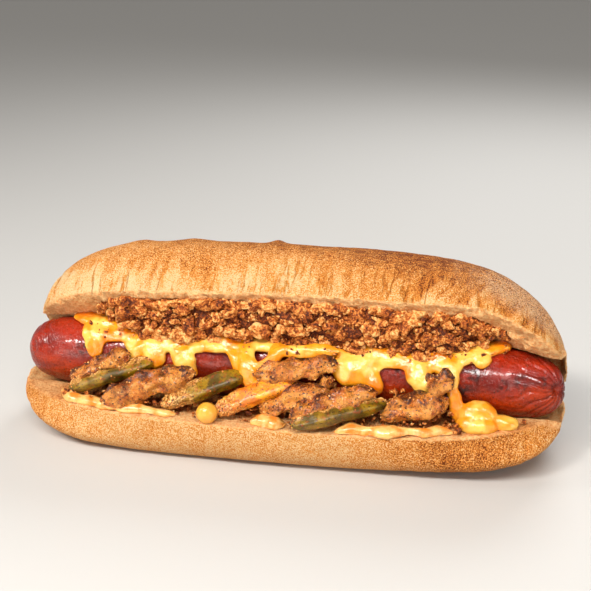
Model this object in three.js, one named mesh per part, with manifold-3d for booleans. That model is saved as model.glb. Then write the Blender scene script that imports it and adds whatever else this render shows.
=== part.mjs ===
// A loaded hot dog: a hinge-cut bread roll lies on its flat base with its mouth open to the front.
// It holds one grilled sausage, strips of seasoned chicken and pepper in front of it, melted cheese
// over the sausage, a heap of fried onion crumbs on the cheese, and dabs of sauce on the bread.
// Units are millimetres. X runs along the roll, -Y is the open front and +Z is up.
// The origin is a point of the flat base, under the middle of the cut.
import * as THREE from "three";
import { mergeVertices } from "three/addons/utils/BufferGeometryUtils.js";
import Module from "manifold-3d";

const wasm = await Module();
wasm.setup();

const { degToRad, lerp, clamp, smoothstep } = THREE.MathUtils;

// Driving dimensions of the roll.
const ROLL_RIGHT = 102.3; // reach of both halves to the right of the origin
const LOWER_LEFT = 100.7; // reach of the lower half to the left
const UPPER_LEFT = 95; // the upper half ends a little sooner
const ROLL_WIDTH = 70;
const CUT_HEIGHT = 18; // thickness of the lower half
const UPPER_THICKNESS = 32.4;
const HINGE_Y = 24; // the knife stopped here, short of the back
const OPEN_RIGHT = degToRad(46.5); // how far the mouth is open at the right end
const OPEN_LEFT = degToRad(42);
const BASE_OVERSHOOT = 5; // how much of the rounded underside is pressed flat by standing
const BASE_EASE = 1.8; // how much less of it is pressed flat to the right of the middle
const RIGHT_LIFT = 2.5; // the lower cut face climbs this far towards the right end
const RIGHT_DROOP = 8; // the upper half hangs this far down over the right tip of the sausage

// How blunt the ends are: seen from above at the cut, seen from above at the belly, and from the side.
const LOWER_ENDS = { left: [3.1, 6.4, 5], right: [2.9, 8.9, 4] };
const UPPER_ENDS = { left: [5.6, 5.4, 4.6], right: [8, 2.8, 4.4] };

// Blisters along the top of the crust: place along X, width and height.
const BLISTERS = [
  [-57, 4.5, 1.1],
  [-36.5, 6.5, 1.4],
  [-5, 2.4, 2],
];

// Driving dimensions of the sausage.
const SAUSAGE_RADIUS = 12.5;
const SAUSAGE_LENGTH = 198.5;
const SAUSAGE_MIDDLE = new THREE.Vector3(1.75, -4.5, 29.5);
const TIP_TURN = 3; // the right tip turns this far to the front

const GAP = 0.3; // clearance between neighbouring pieces

// Solids and geometries.
function toSolid(geometry) {
  const bare = geometry.clone();
  bare.deleteAttribute("normal");
  bare.deleteAttribute("uv");
  const merged = mergeVertices(bare, 1e-4);
  const vertProperties = new Float32Array(merged.attributes.position.array);
  const triVerts = new Uint32Array(merged.index.array);
  return new wasm.Manifold(new wasm.Mesh({ numProp: 3, vertProperties, triVerts }));
}

function toGeometry(solid) {
  const mesh = solid.getMesh();
  const places = new THREE.BufferAttribute(new Float32Array(mesh.vertProperties), 3);
  const geometry = new THREE.BufferGeometry();
  geometry.setAttribute("position", places);
  geometry.setIndex(new THREE.BufferAttribute(new Uint32Array(mesh.triVerts), 1));
  geometry.computeVertexNormals();
  return geometry;
}

function joined(solids) {
  return solids.reduce((whole, solid) => whole.add(solid));
}

function largestBody(solid) {
  return solid.decompose().reduce((best, body) => (body.volume() > best.volume() ? body : best));
}

// Moves every vertex of a geometry by reshape(point).
function reshaped(geometry, reshape) {
  const place = geometry.attributes.position;
  const point = new THREE.Vector3();
  for (let i = 0; i < place.count; i += 1) {
    point.fromBufferAttribute(place, i);
    reshape(point);
    place.setXYZ(i, point.x, point.y, point.z);
  }
  return geometry;
}

// A unit sphere with its poles on the X axis, to be reshaped.
function lyingSphere(around, along) {
  return new THREE.SphereGeometry(1, around, along).rotateZ(-Math.PI / 2);
}

// The direction of a point of that sphere about the X axis; a power below 1 makes it boxy.
function section(p, power) {
  const girth = Math.hypot(p.y, p.z);
  if (girth < 1e-6) return { side: 0, rise: 0 };
  const boxy = (value) => Math.sign(value) * Math.abs(value) ** power;
  return { side: boxy(p.y / girth), rise: boxy(p.z / girth) };
}

// A random number generator with a fixed seed, so that the heap is the same each time.
function seededRandom(seed) {
  let state = seed;
  return () => {
    state = (state * 16807) % 2147483647;
    return state / 2147483647;
  };
}

// The roll.

// How far the mouth is open at a place along the roll.
function openAngle(x) {
  return lerp(OPEN_RIGHT, OPEN_LEFT, clamp(-x / LOWER_LEFT, 0, 1));
}

// How much a place across the roll shares in the lift or the droop: nothing at the hinge.
function awayFromHinge(y) {
  return clamp((HINGE_Y - y) / 20, 0, 1);
}

function lowerCut(x, y) {
  return CUT_HEIGHT + RIGHT_LIFT * smoothstep(x, 60, 101) * awayFromHinge(y);
}

// The cut face of the upper half, while the mouth is shut.
function upperCut(x, y) {
  return CUT_HEIGHT - RIGHT_DROOP * smoothstep(x, 68, 101) * awayFromHinge(y);
}

// Swings a point of the upper half open about the hinge.
function swingOpen(p) {
  const angle = openAngle(p.x);
  const reach = p.y - HINGE_Y;
  const height = p.z - CUT_HEIGHT;
  p.y = HINGE_Y + reach * Math.cos(angle) + height * Math.sin(angle);
  p.z = CUT_HEIGHT - reach * Math.sin(angle) + height * Math.cos(angle);
  return p;
}

// How wide and how thick a half is at a share of its length; rise is 0 at the cut and 1 on top.
function endShape(ends, share, rise) {
  const [lip, belly, side] = share < 0 ? ends.left : ends.right;
  const taper = (power) => Math.sqrt(Math.max(0, 1 - Math.abs(share) ** power));
  return { plan: lerp(taper(lip), taper(belly), smoothstep(rise, 0, 0.6)), depth: taper(side) };
}

// Moves a point of the unit sphere to the lower half: crust below the cut, pressed flat underneath.
function toLowerHalf(p) {
  const { side, rise } = section(p, 1);
  const { plan, depth } = endShape(LOWER_ENDS, p.x, -rise);
  const crust = Math.max(0, -rise) ** 0.82 * depth;
  const width = rise < 0 ? Math.sign(side) * Math.abs(side) ** 0.82 : side;
  const x = p.x * (p.x < 0 ? LOWER_LEFT : ROLL_RIGHT);
  const y = (width * plan * ROLL_WIDTH) / 2;
  const overshoot = BASE_OVERSHOOT - BASE_EASE * Math.exp(-(((x - 58) / 32) ** 2));
  const z = lerp(lowerCut(x, y), CUT_HEIGHT, crust) - crust * (CUT_HEIGHT + overshoot);
  return p.set(x, y, Math.max(0, z));
}

// Moves a point of the unit sphere to the upper half: the domed crust above the cut, swung open.
function toUpperHalf(p) {
  const { side, rise } = section(p, 1);
  const { plan, depth } = endShape(UPPER_ENDS, p.x, rise);
  const crust = Math.max(0, rise) ** 0.82 * depth;
  const width = rise > 0 ? Math.sign(side) * Math.abs(side) ** 0.82 : side;
  const x = p.x * (p.x < 0 ? UPPER_LEFT : ROLL_RIGHT);
  const y = (width * plan * ROLL_WIDTH) / 2;
  return swingOpen(p.set(x, y, lerp(upperCut(x, y), CUT_HEIGHT, crust) + crust * UPPER_THICKNESS));
}

// A blister of the crust, a little to the front of the top of the upper half.
function blister([x, wide, high]) {
  const dome = new THREE.SphereGeometry(1, 8, 6).scale(wide, 3.5, high + 1.2);
  const seat = toUpperHalf(new THREE.Vector3(x / (x < 0 ? UPPER_LEFT : ROLL_RIGHT), -0.42, 0.9));
  return toSolid(dome.rotateX(degToRad(-18)).translate(seat.x, seat.y, seat.z - 1.2));
}

function roll() {
  const lower = toSolid(reshaped(lyingSphere(20, 24), toLowerHalf));
  const upper = toSolid(reshaped(lyingSphere(24, 30), toUpperHalf));
  return joined([lower, upper, ...BLISTERS.map(blister)]);
}

// The air space of the open mouth, clear of both cut faces.
function mouth() {
  const reach = 78;
  const box = new THREE.BoxGeometry(230, 1, 1, 18, 5, 1);
  return toSolid(
    reshaped(box, (p) => {
      const isUpper = p.z > 0;
      p.y = HINGE_Y - 2 - reach * (0.5 - p.y) ** 2;
      p.z = isUpper ? upperCut(p.x, p.y) - GAP : lowerCut(p.x, p.y) + GAP;
      if (isUpper) swingOpen(p);
    }),
  );
}

// The sausage, grown by a clearance where another piece is cut back from it.
function sausage(grow) {
  const radius = SAUSAGE_RADIUS + grow;
  const bluntness = 15;
  const geometry = reshaped(lyingSphere(20, 18), (p) => {
    const { side, rise } = section(p, 1);
    const swell = Math.sqrt(Math.max(0, 1 - Math.abs(p.x) ** bluntness)) * radius;
    const turn = clamp((p.x - 0.8) / 0.2, 0, 1) * TIP_TURN;
    p.set(p.x * (SAUSAGE_LENGTH / 2 + grow), side * swell - turn, rise * swell);
  });
  return toSolid(geometry.translate(...SAUSAGE_MIDDLE));
}

// Strips of chicken and pepper in front of the sausage.
// A square of 1 gives a round section and less gives a boxy one.
const CHICKEN = { colour: 0xb9743a, roughness: 0.6, square: 0.85, lumps: 0.14 };
const GREEN_PEPPER = { colour: 0x6d7326, roughness: 0.4, square: 0.45, lumps: 0.04 };
const YELLOW_PEPPER = { colour: 0xe59422, roughness: 0.35, square: 0.6, lumps: 0.05 };

// Name, kind, lower left end, upper right end, width and thickness of each strip.
const STRIPS = [
  ["green_pepper_left", GREEN_PEPPER, [-76, -22.5, 21.3], [-44, -20.8, 33.6], 7, 4.6],
  ["green_pepper_middle", GREEN_PEPPER, [-39, -28, 20.8], [-9.5, -21.8, 32], 7.4, 5],
  ["green_pepper_right", GREEN_PEPPER, [9.5, -37, 20.6], [41, -23.6, 26.4], 5.4, 4.8],
  ["yellow_pepper", YELLOW_PEPPER, [-19, -30.5, 20.6], [8.5, -22, 31.8], 7.4, 5.6],
  ["chicken_1", CHICKEN, [-76, -19.5, 24.5], [-53, -20.4, 35.4], 6.4, 6],
  ["chicken_2", CHICKEN, [-61, -28.4, 21], [-28, -22.4, 31.6], 8.6, 8],
  ["chicken_3", CHICKEN, [-5.5, -22, 32.4], [22.5, -20, 37.8], 8, 7.2],
  ["chicken_4", CHICKEN, [-3, -27.5, 21.6], [21, -24, 29.6], 8, 7],
  ["chicken_5", CHICKEN, [8.5, -31.6, 21.4], [37, -22.6, 30], 8.4, 7.4],
  ["chicken_6", CHICKEN, [40, -25, 23], [62, -22, 28.6], 9, 8],
  ["chicken_7", CHICKEN, [54.5, -20.8, 33], [63, -20.6, 36], 7.6, 7],
  ["chicken_8", CHICKEN, [16.6, -21.6, 28.6], [20, -20.6, 33.6], 4.4, 4],
];

// A strip, grown by a clearance where another piece is cut back from it.
function strip([, kind, from, to, wide, thick], grow) {
  const start = new THREE.Vector3(...from);
  const end = new THREE.Vector3(...to);
  const half = start.distanceTo(end) / 2;
  const geometry = reshaped(lyingSphere(8, 8), (p) => {
    const { side, rise } = section(p, kind.square);
    const swell = Math.sqrt(1 - Math.abs(p.x) ** 5);
    const lump = 1 + kind.lumps * Math.sin(p.x * 4 + half) * Math.cos(side * 3 + start.x);
    const bow = (1 - p.x ** 2) * 0.06 * half;
    const across = side * swell * (wide / 2 + grow) * lump;
    p.set(p.x * (half + grow), across, rise * swell * (thick / 2 + grow) * lump + bow);
  });
  const along = end.clone().sub(start).normalize();
  const facing = new THREE.Vector3(0, -0.5, 0.86); // the broad face looks up and to the front
  const across = new THREE.Vector3().crossVectors(facing, along).normalize();
  const outward = new THREE.Vector3().crossVectors(along, across);
  geometry.applyMatrix4(new THREE.Matrix4().makeBasis(along, across, outward));
  return toSolid(geometry.translate(...start.lerp(end, 0.5)));
}

// Melted cheese. Each run of cheese follows the sausage from one place to another.
// A place is a distance along X, an angle from the top of the sausage to its front in degrees,
// and a height of the run above the sausage; the last number is the width of the run.
const CHEESE_THICKNESS = 3.2;
const CHEESE_RUNS = [
  // the sheet over the top of the sausage
  [[-62, 12, 0], [-22, 20, 0], 14],
  [[-32, 22, 0], [30, 22, 0], 14],
  [[16, 24, 0], [68, 20, 0], 14],
  // the tongue at the left end, with its rounded drip
  [[-79.5, 6, 0], [-50, 10, 0], 8],
  [[-70, 12, 0], [-66.5, 78, 0.6], 8.6],
  [[-67, 40, 0], [-46, 20, 0], 9],
  // the fringe in front of the left strips
  [[-58, 22, 0], [-50, 68, 0], 7],
  [[-49, 58, 0.5], [-55.5, 78, 1], 4.4],
  [[-57, 48, 0.5], [-20, 42, 0], 8],
  [[-46, 52, 0.5], [-42, 85, 1], 8],
  [[-37, 50, 0.5], [-30, 85, 1], 8],
  [[-30, 76, 0], [-28.6, 98, 0.6], 3.2],
  // the arch over the sausage and the strands down to the yellow pepper
  [[-32, 40, 0.5], [-12, 40, 0.5], 8],
  [[-18, 42, 0.5], [-8.5, 98, 3], 4.4],
  [[-12, 32, 0.5], [-5.5, 104, 7], 6.6],
  [[-2.5, 32, 1], [-4.6, 96, 6.5], 4],
  // the edge over the upper chicken strip
  [[-6, 74, 4], [4, 52, 5.5], 4],
  [[0, 53, 5.5], [24, 46, 4.5], 5],
  // the block with a pointed drip
  [[18, 44, 1], [40, 50, 0.5], 12],
  [[21, 68, 1.5], [37, 72, 1], 9],
  [[34.5, 64, 1], [36.8, 100, 1.6], 6],
  // the arch over the sausage and the pale drip
  [[34, 46, 0.5], [56, 48, 0.5], 7],
  [[47, 50, 0.5], [49.5, 80, 0.8], 3.6],
  [[51, 40, 0.5], [53, 93, 2.2], 7.4],
  // the finger at the right end
  [[54, 48, 0.5], [66, 42, 0.5], 9],
  [[58, 50, 0.5], [81.5, -4, 0.5], 7.4],
  [[70, 30, 0.3], [75, 44, 0], 5.6],
  // the strand down to the drop on the bread
  [[62, 46, 0.5], [63.2, 90, 1.4], 4],
  [[63, 80, 1.2], [65.8, 124, 3.4], 5.6],
  [[64, 122, 4], [76, 114, 5], 7],
];

function cheeseRun([from, to, wide], grow) {
  const start = new THREE.Vector3(...from);
  const end = new THREE.Vector3(...to);
  const radius = SAUSAGE_RADIUS + 0.6;
  const outwardAt = (degrees) => {
    const angle = degToRad(degrees);
    return new THREE.Vector3(0, -Math.sin(angle), Math.cos(angle));
  };
  const placeAt = (share) => {
    const { x, y, z } = start.clone().lerp(end, share);
    return outwardAt(y).multiplyScalar(radius + z).add(new THREE.Vector3(x, SAUSAGE_MIDDLE.y, SAUSAGE_MIDDLE.z));
  };
  const length = placeAt(0).distanceTo(placeAt(0.5)) + placeAt(0.5).distanceTo(placeAt(1));
  const geometry = reshaped(lyingSphere(6, Math.round(clamp(length / 6, 5, 8))), (p) => {
    const { side, rise } = section(p, 0.9);
    const share = (p.x * (1 + (2 * grow) / length) + 1) / 2;
    const swell = Math.sqrt(1 - Math.abs(p.x) ** 3);
    const along = placeAt(share + 0.01).sub(placeAt(share - 0.01)).normalize();
    const outward = outwardAt(lerp(start.y, end.y, share));
    const across = new THREE.Vector3().crossVectors(outward, along).normalize();
    p.copy(placeAt(share));
    p.addScaledVector(across, side * swell * (wide / 2 + grow));
    p.addScaledVector(outward, rise * swell * (CHEESE_THICKNESS / 2 + grow));
  });
  return toSolid(geometry);
}

// Drops of cheese that lie on the lower half of the roll: place and size.
const CHEESE_DROP = [[-20.8, -33, 21.4], [7.6, 7.4, 7.6]];
const CHEESE_POOL = [
  [[72, -20.4, 23.4], [13, 8.6, 9]],
  [[72, -23.6, 20.8], [14, 7.4, 6.4]],
  [[80.5, -20.2, 21.2], [12, 6.8, 4.8]],
];

function drop([place, size], grow) {
  const geometry = reshaped(lyingSphere(8, 7), (p) => {
    p.set(p.x * (size[0] / 2 + grow), p.y * (size[1] / 2 + grow), p.z * (size[2] / 2 + grow));
  });
  return toSolid(geometry.translate(...place));
}

function cheese(grow) {
  const runs = CHEESE_RUNS.map((run) => cheeseRun(run, grow));
  return joined([...runs, ...CHEESE_POOL.map((pool) => drop(pool, grow))]);
}

// The heap of fried onion crumbs between the cheese and the upper half.
const HEAP_LEFT = -67;
const HEAP_RIGHT = 80;
const HEAP_REACH = 6; // from the middle of the heap to its front
const HEAP_RISE = 10.5;
const CRUMB_COUNT = 70;

// The heap climbs and draws back at its ends, where the cheese lies bare.
function heapMiddle(x) {
  const end = smoothstep(x, 58, 72) + smoothstep(-x, 50, 64);
  return { y: -9.6 + 2 * end, z: 49 - 3.2 * (x / 70) ** 2 + 4.5 * end };
}

// The heap also thins out at its ends.
function heapWidth(x) {
  return smoothstep(x, HEAP_LEFT - 6, HEAP_LEFT + 12) * smoothstep(-x, -HEAP_RIGHT - 8, -HEAP_RIGHT + 22);
}

function crumbs() {
  const random = seededRandom(4711);
  const half = (HEAP_RIGHT - HEAP_LEFT) / 2;
  const core = reshaped(lyingSphere(8, 12), (p) => {
    const { side, rise } = section(p, 1);
    const x = HEAP_LEFT + (p.x + 1) * half;
    const swell = Math.sqrt(1 - Math.abs(p.x) ** 6) * heapWidth(x);
    const { y, z } = heapMiddle(x);
    p.set(x, y + side * swell * (HEAP_REACH - 0.6), z + rise * swell * (HEAP_RISE - 0.6));
  });
  const pieces = Array.from({ length: CRUMB_COUNT }, (_, i) => {
    const x = lerp(HEAP_LEFT + 4, HEAP_RIGHT - 4, (i + random()) / CRUMB_COUNT);
    const angle = degToRad(lerp(-60, 80, random()));
    const width = heapWidth(x);
    const size = lerp(1.9, 3.4, random()) * lerp(0.6, 1, width);
    const { y, z } = heapMiddle(x);
    const crumb = new THREE.IcosahedronGeometry(size, 0);
    crumb.scale(lerp(0.8, 1.5, random()), 1, lerp(0.7, 1.1, random()));
    crumb.rotateX(random() * 3).rotateZ(random() * 3);
    crumb.translate(x, y - HEAP_REACH * width * Math.cos(angle), z + HEAP_RISE * width * Math.sin(angle));
    return toSolid(crumb);
  });
  return joined([toSolid(core), ...pieces]);
}

// Dabs of sauce along the front edge of the lower half: left end, middle, right end and width.
const SAUCE_HEIGHT = 2.8;
const SAUCE_DABS = {
  sauce_left: [[-80, -20], [-66, -26.5], [-33, -31], 5.6],
  sauce_middle: [[-6, -31.5], [0, -31.5], [7, -31], 5.6],
  sauce_right: [[24, -31.5], [44, -30.4], [65, -26], 4.8],
};

function sauceDab([left, middle, right, wide]) {
  const points = [left, middle, right].map(([x, y]) => new THREE.Vector3(x, y, CUT_HEIGHT + GAP));
  const path = new THREE.CatmullRomCurve3(points);
  const geometry = reshaped(lyingSphere(8, 10), (p) => {
    const { side, rise } = section(p, 1);
    const share = (p.x + 1) / 2;
    const swell = Math.sqrt(1 - Math.abs(p.x) ** 4);
    p.copy(path.getPoint(share));
    p.y += (side * swell * wide) / 2;
    p.z += Math.max(0, rise) * swell * SAUCE_HEIGHT;
  });
  return toSolid(geometry);
}

// The assembly. Each piece is cut back from the pieces laid before it.
const group = new THREE.Group();
const space = mouth();
let taken = sausage(GAP);

function addPiece(name, solid, colour, roughness) {
  const material = new THREE.MeshStandardMaterial({ color: colour, roughness, metalness: 0 });
  const mesh = new THREE.Mesh(toGeometry(largestBody(solid)), material);
  mesh.name = name;
  group.add(mesh);
}

addPiece("bun", roll().subtract(sausage(GAP)), 0xd9a05b, 0.8);
addPiece("sausage", sausage(0), 0xa8391d, 0.35);

STRIPS.forEach((row) => {
  const [name, kind] = row;
  addPiece(name, strip(row, 0).intersect(space).subtract(taken), kind.colour, kind.roughness);
  taken = taken.add(strip(row, GAP));
});

addPiece("cheese", cheese(0).intersect(space).subtract(taken), 0xf6b73c, 0.3);
addPiece("cheese_drop", drop(CHEESE_DROP, 0).intersect(space).subtract(taken), 0xf6c765, 0.3);
taken = joined([taken, cheese(GAP), drop(CHEESE_DROP, GAP)]);

const heap = crumbs().intersect(space).subtract(sausage(CHEESE_THICKNESS));
addPiece("crumbs", heap.subtract(taken), 0x9c5a2a, 0.75);
Object.entries(SAUCE_DABS).forEach(([name, dab]) => {
  addPiece(name, sauceDab(dab).subtract(taken), 0xf2d296, 0.35);
});

export default group;
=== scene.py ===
# %% [markdown]
# # A loaded hot dog
# The real thing is a soft oblong roll, cut along its front and opened like a book. A grilled
# sausage lies in the fold with strips of chicken and pepper in front of it. Melted cheese
# runs over the sausage, fried onion crumbs are heaped on the cheese, and a little sauce shows
# along the front edge of the bread.
#
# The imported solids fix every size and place. This notebook dresses them: each piece is made
# again with a smoother form and finer relief, in the same place, and gets its own material.

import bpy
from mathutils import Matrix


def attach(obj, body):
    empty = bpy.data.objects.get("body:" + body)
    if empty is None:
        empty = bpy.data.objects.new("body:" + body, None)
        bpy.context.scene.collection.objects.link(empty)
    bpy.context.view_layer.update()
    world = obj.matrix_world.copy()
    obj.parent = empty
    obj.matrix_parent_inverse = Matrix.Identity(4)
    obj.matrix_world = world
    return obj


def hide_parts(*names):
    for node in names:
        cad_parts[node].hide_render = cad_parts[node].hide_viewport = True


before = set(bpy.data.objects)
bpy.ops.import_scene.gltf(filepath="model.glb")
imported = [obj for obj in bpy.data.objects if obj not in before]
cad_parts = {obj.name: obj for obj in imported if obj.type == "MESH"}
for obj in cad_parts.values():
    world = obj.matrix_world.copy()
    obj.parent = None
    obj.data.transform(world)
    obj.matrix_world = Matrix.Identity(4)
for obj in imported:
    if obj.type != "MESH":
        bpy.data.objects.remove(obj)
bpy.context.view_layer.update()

# %% Tools of the notebook
import math
import random

import bmesh
import bpy
from mathutils import Matrix, Vector, noise

MM = 0.001  # shapes are made in millimetres and brought to metres when they are finished
scene = bpy.context.scene

# %% [markdown]
# ## Camera, floor and light
# The picture was taken from a little above and a little to the right of the open front, with
# a fairly long lens. The camera stands at that place. A pale floor and large soft lamps show
# the food plainly, so the browning comes from the materials and not from coloured light.

# %% Camera
camera_data = bpy.data.cameras.new("camera")
camera_data.lens = 66.4
camera_data.sensor_width = 36
camera_data.clip_start = 0.01
camera = bpy.data.objects.new("camera", camera_data)
camera.location = (0.0753, -0.3653, 0.1875)
camera.rotation_euler = (math.radians(70.415), 0, math.radians(11))
scene.collection.objects.link(camera)
scene.camera = camera
print("camera", [round(c, 3) for c in camera.location])

# %% Floor and backdrop
floor_shape = bmesh.new()
bmesh.ops.create_grid(floor_shape, x_segments=1, y_segments=1, size=2.5)
floor_mesh = bpy.data.meshes.new("floor")
floor_shape.to_mesh(floor_mesh)
floor_shape.free()
floor = bpy.data.objects.new("floor", floor_mesh)
scene.collection.objects.link(floor)
floor_finish = bpy.data.materials.new("pale_floor")
floor_finish.use_nodes = True
floor_shader = floor_finish.node_tree.nodes["Principled BSDF"]
floor_shader.inputs["Base Color"].default_value = (0.56, 0.55, 0.53, 1)
floor_shader.inputs["Roughness"].default_value = 0.7
floor_mesh.materials.append(floor_finish)

world = bpy.data.worlds.new("studio")
world.use_nodes = True
sky = world.node_tree.nodes["Background"]
sky.inputs["Color"].default_value = (1, 0.97, 0.94, 1)
sky.inputs["Strength"].default_value = 0.2
scene.world = world
scene.view_settings.view_transform = "Standard"


# %% Soft lamps
FOOD = Vector((0, 0, 0.03))  # the spot that every lamp faces


def soft_lamp(name, kind, place, size, power, tint=(1, 1, 1), narrow=1.0):
    """A lamp that faces the food; size is metres for a panel, degrees for a far one."""
    data = bpy.data.lights.new(name, kind)
    data.energy = power
    data.color = tint
    if kind == "SUN":
        data.angle = math.radians(size)
    else:
        data.shape = "RECTANGLE"
        data.size, data.size_y = size, size * narrow
    lamp = bpy.data.objects.new(name, data)
    lamp.location = place
    lamp.rotation_euler = (FOOD - Vector(place)).to_track_quat("-Z", "Y").to_euler()
    scene.collection.objects.link(lamp)


soft_lamp("key", "SUN", (-0.42, -0.6, 0.72), 8, 0.82, (1, 0.96, 0.9))
soft_lamp("long_panel", "AREA", (-0.03, -0.42, 0.5), 0.6, 4.5, (1, 0.97, 0.93), 0.13)
soft_lamp("front", "AREA", (-0.35, -0.8, 0.06), 0.5, 3.0, (1, 0.94, 0.86))
soft_lamp("fill", "AREA", (0.7, -0.5, 0.3), 0.3, 1.7, (1, 0.96, 0.92))
soft_lamp("rim", "AREA", (0.2, 0.55, 0.55), 0.35, 3)
soft_lamp("left_side", "AREA", (-0.5, -0.14, 0.33), 0.12, 0.8, (1, 0.96, 0.92))
print("lamps:", len(bpy.data.lights))

# %% [markdown]
# ## Small helpers for shapes
# The roll, the sausage, the strips, the cheese and the sauce all start as balls whose poles lie
# on the X axis. Their points are then moved to a place worked out from their direction round
# the axis and their share of the length. That is how the solids were made too, so the two
# agree, but here the balls are much finer. Only the crumbs and grains start as icospheres.


# %% Balls, and points moved by a rule
def ball(around, along):
    """A ball of radius 1 with its poles on the X axis."""
    shape = bmesh.new()
    bmesh.ops.create_uvsphere(shape, u_segments=around, v_segments=along, radius=1)
    bmesh.ops.rotate(shape, verts=shape.verts, matrix=Matrix.Rotation(math.radians(90), 3, "Y"))
    return shape


def section(point, power=1.0):
    """The direction of a point round the X axis, as sideways and upward parts."""
    girth = math.hypot(point.y, point.z)
    if girth < 1e-6:
        return 0.0, 0.0
    parts = (point.y / girth, point.z / girth)
    return tuple(math.copysign(abs(part) ** power, part) for part in parts)


def fullness(share, power):
    """How full a piece is at a share of its length from -1 to 1; a higher power is blunter."""
    return math.sqrt(max(0.0, 1 - abs(share) ** power))


def mix(a, b, share):
    return a + (b - a) * share


def clamped(value):
    return min(1.0, max(0.0, value))


def smooth_step(value, low, high):
    """0 at low, 1 at high, with soft ends; low may be the larger of the two."""
    share = clamped((value - low) / (high - low))
    return share * share * (3 - 2 * share)


def hump(distance, width):
    """1 in the middle and less on both sides, about as wide as width."""
    return math.exp(-((distance / width) ** 2))


def rough(point, size, seed=0.0):
    """Noise from -1 to 1 whose lumps are about size millimetres wide."""
    return noise.noise(point / size + Vector((seed, 3.7 * seed, 1.3 * seed)))


# %% Joining, remeshing and smoothing
def add_shape(whole, part):
    """Adds a copy of one shape to another, and drops the part."""
    mesh = bpy.data.meshes.new("part")
    part.to_mesh(mesh)
    part.free()
    whole.from_mesh(mesh)
    bpy.data.meshes.remove(mesh)


def add_toned(whole, layer, part, value):
    """Adds a shape, and stores one value on all its points."""
    before = len(whole.verts)
    add_shape(whole, part)
    whole.verts.ensure_lookup_table()
    for vert in whole.verts[before:]:
        vert[layer] = value


def remeshed(shape, voxel):
    """One closed skin round everything in the shape, from cubes of voxel millimetres."""
    mesh = bpy.data.meshes.new("rough")
    shape.to_mesh(mesh)
    shape.free()
    thing = bpy.data.objects.new("rough", mesh)
    scene.collection.objects.link(thing)
    skin = thing.modifiers.new("skin", "REMESH")
    skin.mode = "VOXEL"
    skin.voxel_size = voxel
    skinned = thing.evaluated_get(bpy.context.evaluated_depsgraph_get())
    ready = bpy.data.meshes.new_from_object(skinned)
    fresh = bmesh.new()
    fresh.from_mesh(ready)
    bpy.data.objects.remove(thing)
    bpy.data.meshes.remove(mesh)
    bpy.data.meshes.remove(ready)
    return fresh


def smoothed(shape, times, factor=0.5):
    for _ in range(times):
        bmesh.ops.smooth_vert(
            shape, verts=shape.verts, factor=factor, use_axis_x=True, use_axis_y=True, use_axis_z=True
        )
    shape.normal_update()


def pushed(shape, amount):
    """Moves each point along its normal by amount(place, normal) millimetres."""
    shape.normal_update()
    steps = [(vert, vert.normal * amount(vert.co, vert.normal)) for vert in shape.verts]
    for vert, step in steps:
        vert.co += step
    shape.normal_update()


# %% Finishing a piece
def finished(name, shape, material, slot, *nodes):
    """Brings a shape to metres, gives it its material and puts it in place of its solids."""
    bmesh.ops.recalc_face_normals(shape, faces=shape.faces)
    bmesh.ops.scale(shape, vec=(MM, MM, MM), verts=shape.verts)
    mesh = bpy.data.meshes.new(name)
    shape.to_mesh(mesh)
    shape.free()
    mesh.polygons.foreach_set("use_smooth", [True] * len(mesh.polygons))
    mesh.materials.append(material)
    thing = bpy.data.objects.new(name, mesh)
    scene.collection.objects.link(thing)
    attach(thing, "root")
    if nodes:
        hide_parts(*nodes)
    print(name, "faces:", len(mesh.polygons))


# %% [markdown]
# ## Shared effects for the materials
# Toasted bread, grilled meat and fried crumbs all need the same thing: patches of one colour
# on another, in a chosen size and with a soft or hard edge. That is one shader node group,
# placed in each material with its own values. Its mask also serves as the height of fine relief.


# %% Colours and nodes
def colour(red, green, blue):
    """A screen colour from 0 to 255 as the linear colour that a shader wants."""
    parts = [part / 255 for part in (red, green, blue)]
    return (*[p / 12.92 if p <= 0.04045 else ((p + 0.055) / 1.055) ** 2.4 for p in parts], 1)


def place(tree, kind, inputs=None, **settings):
    """Adds a node; inputs are values or the sockets that they come from."""
    node = tree.nodes.new(kind)
    for key, value in settings.items():
        setattr(node, key, value)
    for key, value in (inputs or {}).items():
        if isinstance(value, bpy.types.NodeSocket):
            tree.links.new(value, node.inputs[key])
        else:
            node.inputs[key].default_value = value
    return node


# %% The patches group
patches = bpy.data.node_groups.new("Patches", "ShaderNodeTree")
for label, kind, value in (
    ("Size mm", "NodeSocketFloat", 5.0),
    ("Stretch", "NodeSocketVector", (1.0, 1.0, 1.0)),
    ("Low", "NodeSocketFloat", 0.4),
    ("High", "NodeSocketFloat", 0.6),
    ("Detail", "NodeSocketFloat", 3.0),
):
    patches.interface.new_socket(label, in_out="INPUT", socket_type=kind).default_value = value
patches.interface.new_socket("Mask", in_out="OUTPUT", socket_type="NodeSocketFloat")
given = place(patches, "NodeGroupInput").outputs
where = place(patches, "ShaderNodeTexCoord").outputs["Object"]
stretched = place(patches, "ShaderNodeVectorMath", {0: where, 1: given["Stretch"]}, operation="MULTIPLY")
scale = place(patches, "ShaderNodeMath", {0: 1000.0, 1: given["Size mm"]}, operation="DIVIDE")
spots = place(
    patches,
    "ShaderNodeTexNoise",
    {
        "Vector": stretched.outputs[0],
        "Scale": scale.outputs[0],
        "Detail": given["Detail"],
        "Roughness": 0.6,
    },
)
edge = place(
    patches,
    "ShaderNodeMapRange",
    {"Value": spots.outputs["Fac"], "From Min": given["Low"], "From Max": given["High"]},
    interpolation_type="SMOOTHSTEP",
)
result = place(patches, "NodeGroupOutput")
patches.links.new(edge.outputs["Result"], result.inputs["Mask"])
print("group", patches.name, "with", len(patches.nodes), "nodes")


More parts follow.
